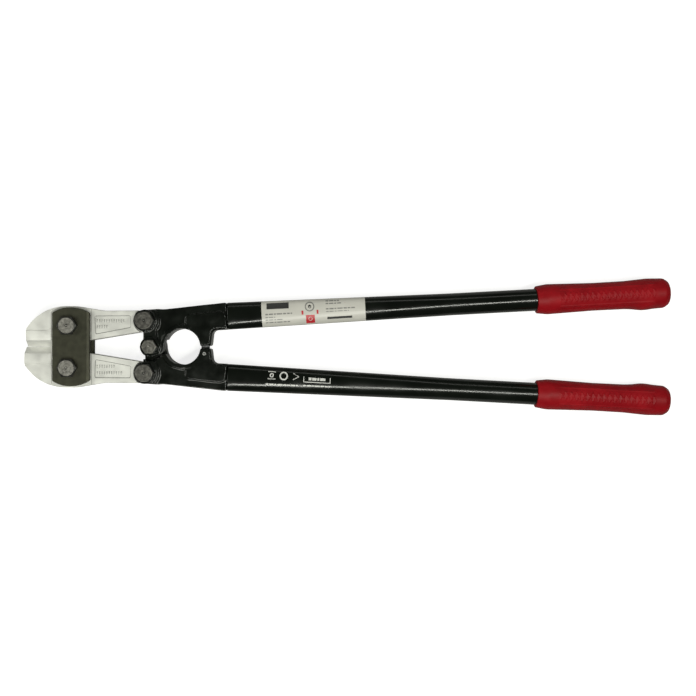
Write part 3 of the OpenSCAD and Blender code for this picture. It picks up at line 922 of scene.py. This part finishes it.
class PrintSheet:
    """Flat shapes in stations along a tube and offsets across it, which are then laid on its skin."""

    def __init__(self, middle, upright):
        self.bm = bmesh.new()
        self.middle = middle
        self.upright = upright

    def add(self, made, s, v, index=0, turn=0.0):
        bmesh.ops.rotate(self.bm, matrix=Matrix.Rotation(turn, 3, "Z"), verts=made)
        bmesh.ops.translate(self.bm, vec=(s, v, 0), verts=made)
        for face in {f for vert in made for f in vert.link_faces}:
            face.material_index = index

    def bar(self, s0, s1, v0, v1, index=0, step=0.0012):
        """A rectangle between two stations and two offsets."""
        long, wide = s1 - s0, v1 - v0
        made = grid(self.bm, max(1, round(long / step)), max(1, round(wide / step * 1.6)))
        bmesh.ops.translate(self.bm, vec=(-0.5, -0.5, 0), verts=made)
        bmesh.ops.scale(self.bm, vec=(long, wide, 1), verts=made)
        self.add(made, (s0 + s1) / 2, (v0 + v1) / 2, index)

    def ring(self, s, v, radius, width, index=0, corners=32, turn=0.0):
        """An outline of a circle, or of a figure with few corners."""
        made, edges = [], []
        for r in (radius, radius - width):
            circle = bmesh.ops.create_circle(self.bm, segments=corners, radius=r)["verts"]
            made += circle
            edges += list({e for vert in circle for e in vert.link_edges})
        bmesh.ops.bridge_loops(self.bm, edges=edges)
        self.add(made, s, v, index, turn)

    def disc(self, s, v, radius, index=0, corners=32, turn=0.0):
        """A filled circle, or a figure with few corners."""
        made = bmesh.ops.create_circle(self.bm, cap_ends=True, segments=corners, radius=radius)["verts"]
        self.add(made, s, v, index, turn)

    def lay(self, side, gap, thickness):
        """Gives the sheet its thickness and lays it on the tube's front."""
        bmesh.ops.solidify(self.bm, geom=self.bm.faces[:], thickness=thickness)
        base = min(v.co.z for v in self.bm.verts)
        for v in self.bm.verts:
            s, across = v.co.x, v.co.y * self.upright
            grown = gap + v.co.z - base
            wide = half_width(s) + grown
            across *= wide / half_width(self.middle)
            share = min(0.999, abs(across / wide))
            power = squareness(s)
            v.co = Vector((s, across, (half_thickness(s) + grown) * (1 - share ** power) ** (1 / power)))
        set_in_place(self.bm, handle_place(side))
        return self.bm


def text_line(sheet, s0, s1, v, height, index=0):
    """A broken line that stands for a row of small print."""
    blocks = (0.0026, 0.0041, 0.0019, 0.0052, 0.0031)
    gap = 0.0008
    s, k = s0, 0
    while s < s1:
        end = min(s1, s + blocks[k % len(blocks)])
        sheet.bar(s, end, v - height / 2, v + height / 2, index)
        s = end + gap
        k += 1


class CUTTER_OT_label(bpy.types.Operator):
    """Builds the label on the upper handle and its generic printing"""

    bl_idname = "cutter.label"
    bl_label = "Label"

    def execute(self, context):
        middle = (LABEL_S + LABEL_END) / 2
        reach = LABEL_REACH * half_width(middle)
        long = LABEL_END - LABEL_S
        film = PrintSheet(middle, 1)
        film.bar(LABEL_S, LABEL_END, -reach, reach, step=0.002)
        bm = film.lay("upper", LABEL_GAP, LABEL_T)
        film_finish = [label_film()]
        node = "handle_label"
        add_piece("handle_label_film", bm, "upper_handle", film_finish, [node], sharp=50)

        def at(u):
            return LABEL_S + u * long

        dark, pale, red, paper = range(4)
        inks = PrintSheet(middle, 1)
        inks.bar(at(0.05), at(0.265), 0.34 * reach, 0.82 * reach, dark)
        text_line(inks, at(0.035), at(0.295), -0.06 * reach, 0.0013, pale)
        text_line(inks, at(0.035), at(0.13), -0.30 * reach, 0.0008, pale)
        text_line(inks, at(0.035), at(0.20), -0.50 * reach, 0.0008, pale)
        text_line(inks, at(0.035), at(0.27), -0.70 * reach, 0.0009, pale)
        inks.ring(at(0.465), 0.40 * reach, 0.0046, 0.0011, pale)
        inks.disc(at(0.465), 0.40 * reach, 0.0018, dark, corners=6)
        inks.bar(at(0.425), at(0.51), -0.92 * reach, -0.28 * reach, red)
        for end in (0.385, 0.53):
            inks.bar(at(end), at(end + 0.018), -0.22 * reach, 0.10 * reach, red)
        text_line(inks, at(0.62), at(0.75), 0.80 * reach, 0.0011, pale)
        text_line(inks, at(0.62), at(0.77), 0.58 * reach, 0.0011, pale)
        inks.disc(at(0.845), 0.60 * reach, 0.0042, red, corners=3, turn=math.radians(90))
        text_line(inks, at(0.62), at(0.90), 0.14 * reach, 0.0012, pale)
        text_line(inks, at(0.62), at(0.84), -0.08 * reach, 0.0007, pale)
        inks.bar(at(0.63), at(0.87), -0.70 * reach, -0.52 * reach, dark)
        bm = inks.lay("upper", LABEL_GAP + LABEL_T, sizes().print_t)
        finishes = [
            ink("dark_ink", *colours().ink), ink("pale_ink", *colours().pale_ink),
            ink("red_ink", *colours().red_ink), ink("paper_ink", *colours().paper),
        ]
        add_piece("handle_label_print", bm, "upper_handle", finishes, sharp=50)
        spot = PrintSheet(middle, 1)
        spot.disc(at(0.4675), -0.58 * reach, 0.0019, 0)
        bm = spot.lay("upper", LABEL_GAP + LABEL_T + sizes().print_t, sizes().print_t)
        add_piece("handle_label_spot", bm, "upper_handle", finishes[paper:], sharp=50)
        return {"FINISHED"}


class CUTTER_OT_tube_print(bpy.types.Operator):
    """Builds the white marks printed on the lower handle"""

    bl_idname = "cutter.tube_print"
    bl_label = "Tube printing"

    def execute(self, context):
        white = ink("white_ink", 0.62, 0.62, 0.60)
        marks = PrintSheet(PRINT_MIDDLE, -1)
        line, icon_v, icon_r = PRINT_LINE, ICON_V, ICON_R
        marks.ring(0.0430, icon_v, icon_r * 1.3, line, corners=4, turn=math.radians(45))
        marks.disc(0.0430, icon_v, icon_r * 0.5)
        marks.ring(0.0545, icon_v, icon_r, line * 1.4)
        marks.ring(0.0655, icon_v, icon_r, line * 1.2, corners=3, turn=math.radians(-90))
        text_line(marks, 0.0375, 0.0695, -0.0040, 0.0013)
        left, right, low, high = 0.0735, 0.0995, -0.0005, 0.0050
        marks.bar(left, left + line * 0.7, low, high)
        marks.bar(right - line * 0.7, right, low, high)
        marks.bar(left, right, low, low + line * 0.8)
        text_line(marks, left + 0.005, right - 0.005, 0.0030, 0.0026)
        text_line(marks, left, right, -0.0036, 0.0012)
        bm = marks.lay("lower", LABEL_GAP, sizes().print_t)
        add_piece("lower_tube_print", bm, "lower_handle", [white], sharp=50)
        return {"FINISHED"}


# ---- Stage ----

LAMP_TINT = (0.99, 1.0, 0.92)
FLOOR_HALF = 20          # half the floor's side
FLOOR_SHARE = 0.45       # part of the floor's colour that lights the tool
FLOOR_GLOW = 0.85        # glow of the floor where the camera sees it
BACKDROP = 0.75          # glow of the room where the camera sees it
# Each lamp: place, width, height and turn in degrees
LAMPS = {
    "key": ((0.05, -0.30, 0.95), 1.6, 0.06, (17, 0, 31)),
    "fill": ((0.10, 0.85, 0.60), 1.2, 0.12, (-55, 0, 0)),
    "left": ((-0.95, 0.15, 0.55), 0.10, 0.60, (0, -52, 0)),
}


def add_lamp(name, power):
    """A soft rectangular lamp from the table of lamps."""
    at, width, height, turn = LAMPS[name]
    data = bpy.data.lights.new(name, "AREA")
    data.shape = "RECTANGLE"
    data.size = width
    data.size_y = height
    data.energy = power
    data.color = LAMP_TINT
    lamp = bpy.data.objects.new(name, data)
    lamp.location = at
    lamp.rotation_euler = [math.radians(angle) for angle in turn]
    bpy.context.scene.collection.objects.link(lamp)


class CUTTER_OT_stage(bpy.types.Operator):
    """Sets the floor, the lamps and the camera"""

    bl_idname = "cutter.stage"
    bl_label = "Stage"

    def execute(self, context):
        scene = context.scene
        settings = stage_settings()
        scene.view_settings.view_transform = "Standard"
        bm = bmesh.new()
        bmesh.ops.create_grid(bm, x_segments=1, y_segments=1, size=FLOOR_HALF)
        bmesh.ops.translate(bm, vec=(0, 0, FLOOR_Z), verts=bm.verts)
        mesh = bpy.data.meshes.new("floor")
        bm.to_mesh(mesh)
        bm.free()
        mesh.materials.append(studio_floor())
        floor = bpy.data.objects.new("floor", mesh)
        scene.collection.objects.link(floor)

        world = bpy.data.worlds.new("studio")
        world.use_nodes = True
        sky = world.node_tree.nodes["Background"]
        sky.inputs["Color"].default_value = (*LAMP_TINT, 1)
        links = world.node_tree.links
        path = world.node_tree.nodes.new("ShaderNodeLightPath")
        level = world.node_tree.nodes.new("ShaderNodeMath")
        level.operation = "MULTIPLY_ADD"
        level.inputs[1].default_value = BACKDROP
        level.inputs[2].default_value = settings.ambient
        links.new(path.outputs["Is Camera Ray"], level.inputs[0])
        links.new(level.outputs[0], sky.inputs["Strength"])
        scene.world = world

        for name in LAMPS:
            add_lamp(name, getattr(settings, f"{name}_power"))

        data = bpy.data.cameras.new("camera")
        data.sensor_width = 36.0
        data.lens = data.sensor_width * settings.camera_h / settings.view_w
        data.clip_start = 0.01
        camera = bpy.data.objects.new("camera", data)
        camera.location = (settings.camera_x, settings.camera_y, MID_Z + settings.camera_h)
        scene.collection.objects.link(camera)
        scene.camera = camera
        return {"FINISHED"}


# ---- Panel and start ----

STEPS = (
    CUTTER_OT_jaws, CUTTER_OT_straps, CUTTER_OT_fasteners, CUTTER_OT_heads, CUTTER_OT_stop,
    CUTTER_OT_tubes, CUTTER_OT_grips, CUTTER_OT_label, CUTTER_OT_tube_print, CUTTER_OT_stage,
)


class CUTTER_PT_panel(bpy.types.Panel):
    """Lists the steps that build the tool, and its sizes and colours"""

    bl_idname = "CUTTER_PT_panel"
    bl_label = "Bolt cutters"
    bl_space_type = "VIEW_3D"
    bl_region_type = "UI"
    bl_category = "Bolt cutters"

    def draw(self, context):
        column = self.layout.column()
        for step in STEPS:
            column.operator(step.bl_idname)
        for group in (sizes(), colours(), stage_settings()):
            for name in group.__annotations__:
                column.prop(group, name)


GROUPS = {"cutter_sizes": CutterSizes, "cutter_colours": CutterColours, "cutter_stage": StageSettings}


def register():
    for group in GROUPS.values():
        bpy.utils.register_class(group)
    for name, group in GROUPS.items():
        setattr(bpy.types.Scene, name, PointerProperty(type=group))
    for step in STEPS:
        bpy.utils.register_class(step)
    bpy.utils.register_class(CUTTER_PT_panel)


def unregister():
    bpy.utils.unregister_class(CUTTER_PT_panel)
    for step in reversed(STEPS):
        bpy.utils.unregister_class(step)
    for name, group in GROUPS.items():
        delattr(bpy.types.Scene, name)
        bpy.utils.unregister_class(group)


def main():
    register()
    for step in STEPS:
        area, name = step.bl_idname.split(".")
        getattr(getattr(bpy.ops, area), name)()


if __name__ == "__main__":
    main()
